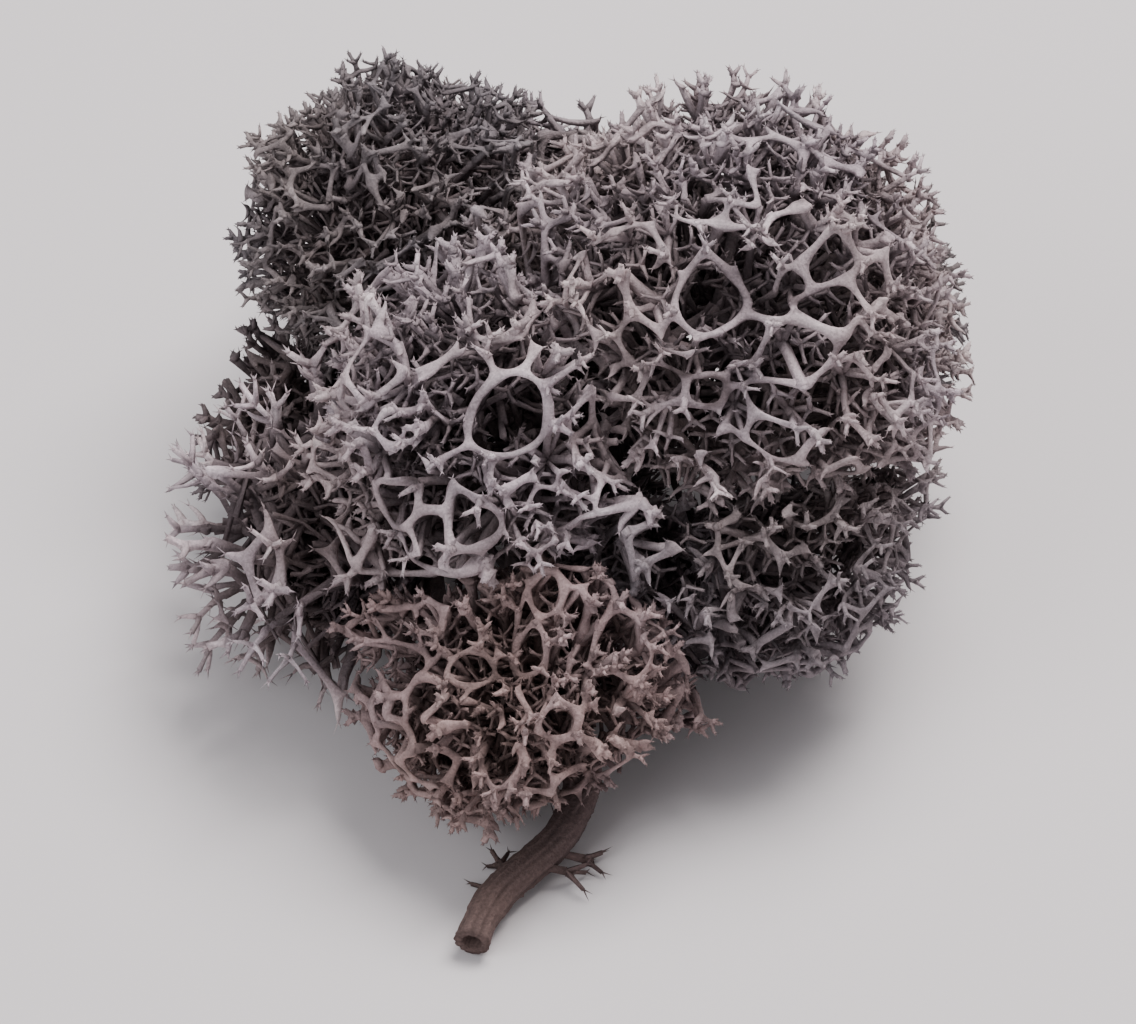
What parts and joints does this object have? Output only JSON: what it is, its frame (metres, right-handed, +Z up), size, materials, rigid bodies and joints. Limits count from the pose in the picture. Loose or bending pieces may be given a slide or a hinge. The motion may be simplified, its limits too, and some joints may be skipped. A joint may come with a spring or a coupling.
{
  "type": "reindeer moss clump",
  "caption": "Clump of preserved grey reindeer lichen: rounded, finely forked heads on bare stalks, pressed together into one cushion.",
  "frame": {"origin": "middle of the tallest stalk's cut foot, on the surface that the clump stands on", "axes": "+Z up, -Y toward the front with the dead brown head, +X toward the tallest head's side"},
  "size_m": [0.0488, 0.0622, 0.0379],
  "materials": {
    "pale_thallus": "matte",
    "grey_thallus": "matte",
    "dark_thallus": "matte",
    "brown_thallus": "matte"
  },
  "bodies": {
    "root": {"main_podetium": "pale_thallus", "fine_podetium": "grey_thallus", "netted_podetium": "pale_thallus", "fringe_podetium": "pale_thallus", "dead_podetium": "brown_thallus", "front_right_podetium": "dark_thallus", "front_podetium": "dark_thallus", "middle_podetium": "dark_thallus", "back_podetium": "dark_thallus", "right_back_podetium": "grey_thallus", "left_back_podetium": "dark_thallus", "back_left_podetium": "dark_thallus"}
  },
  "joints": []
}
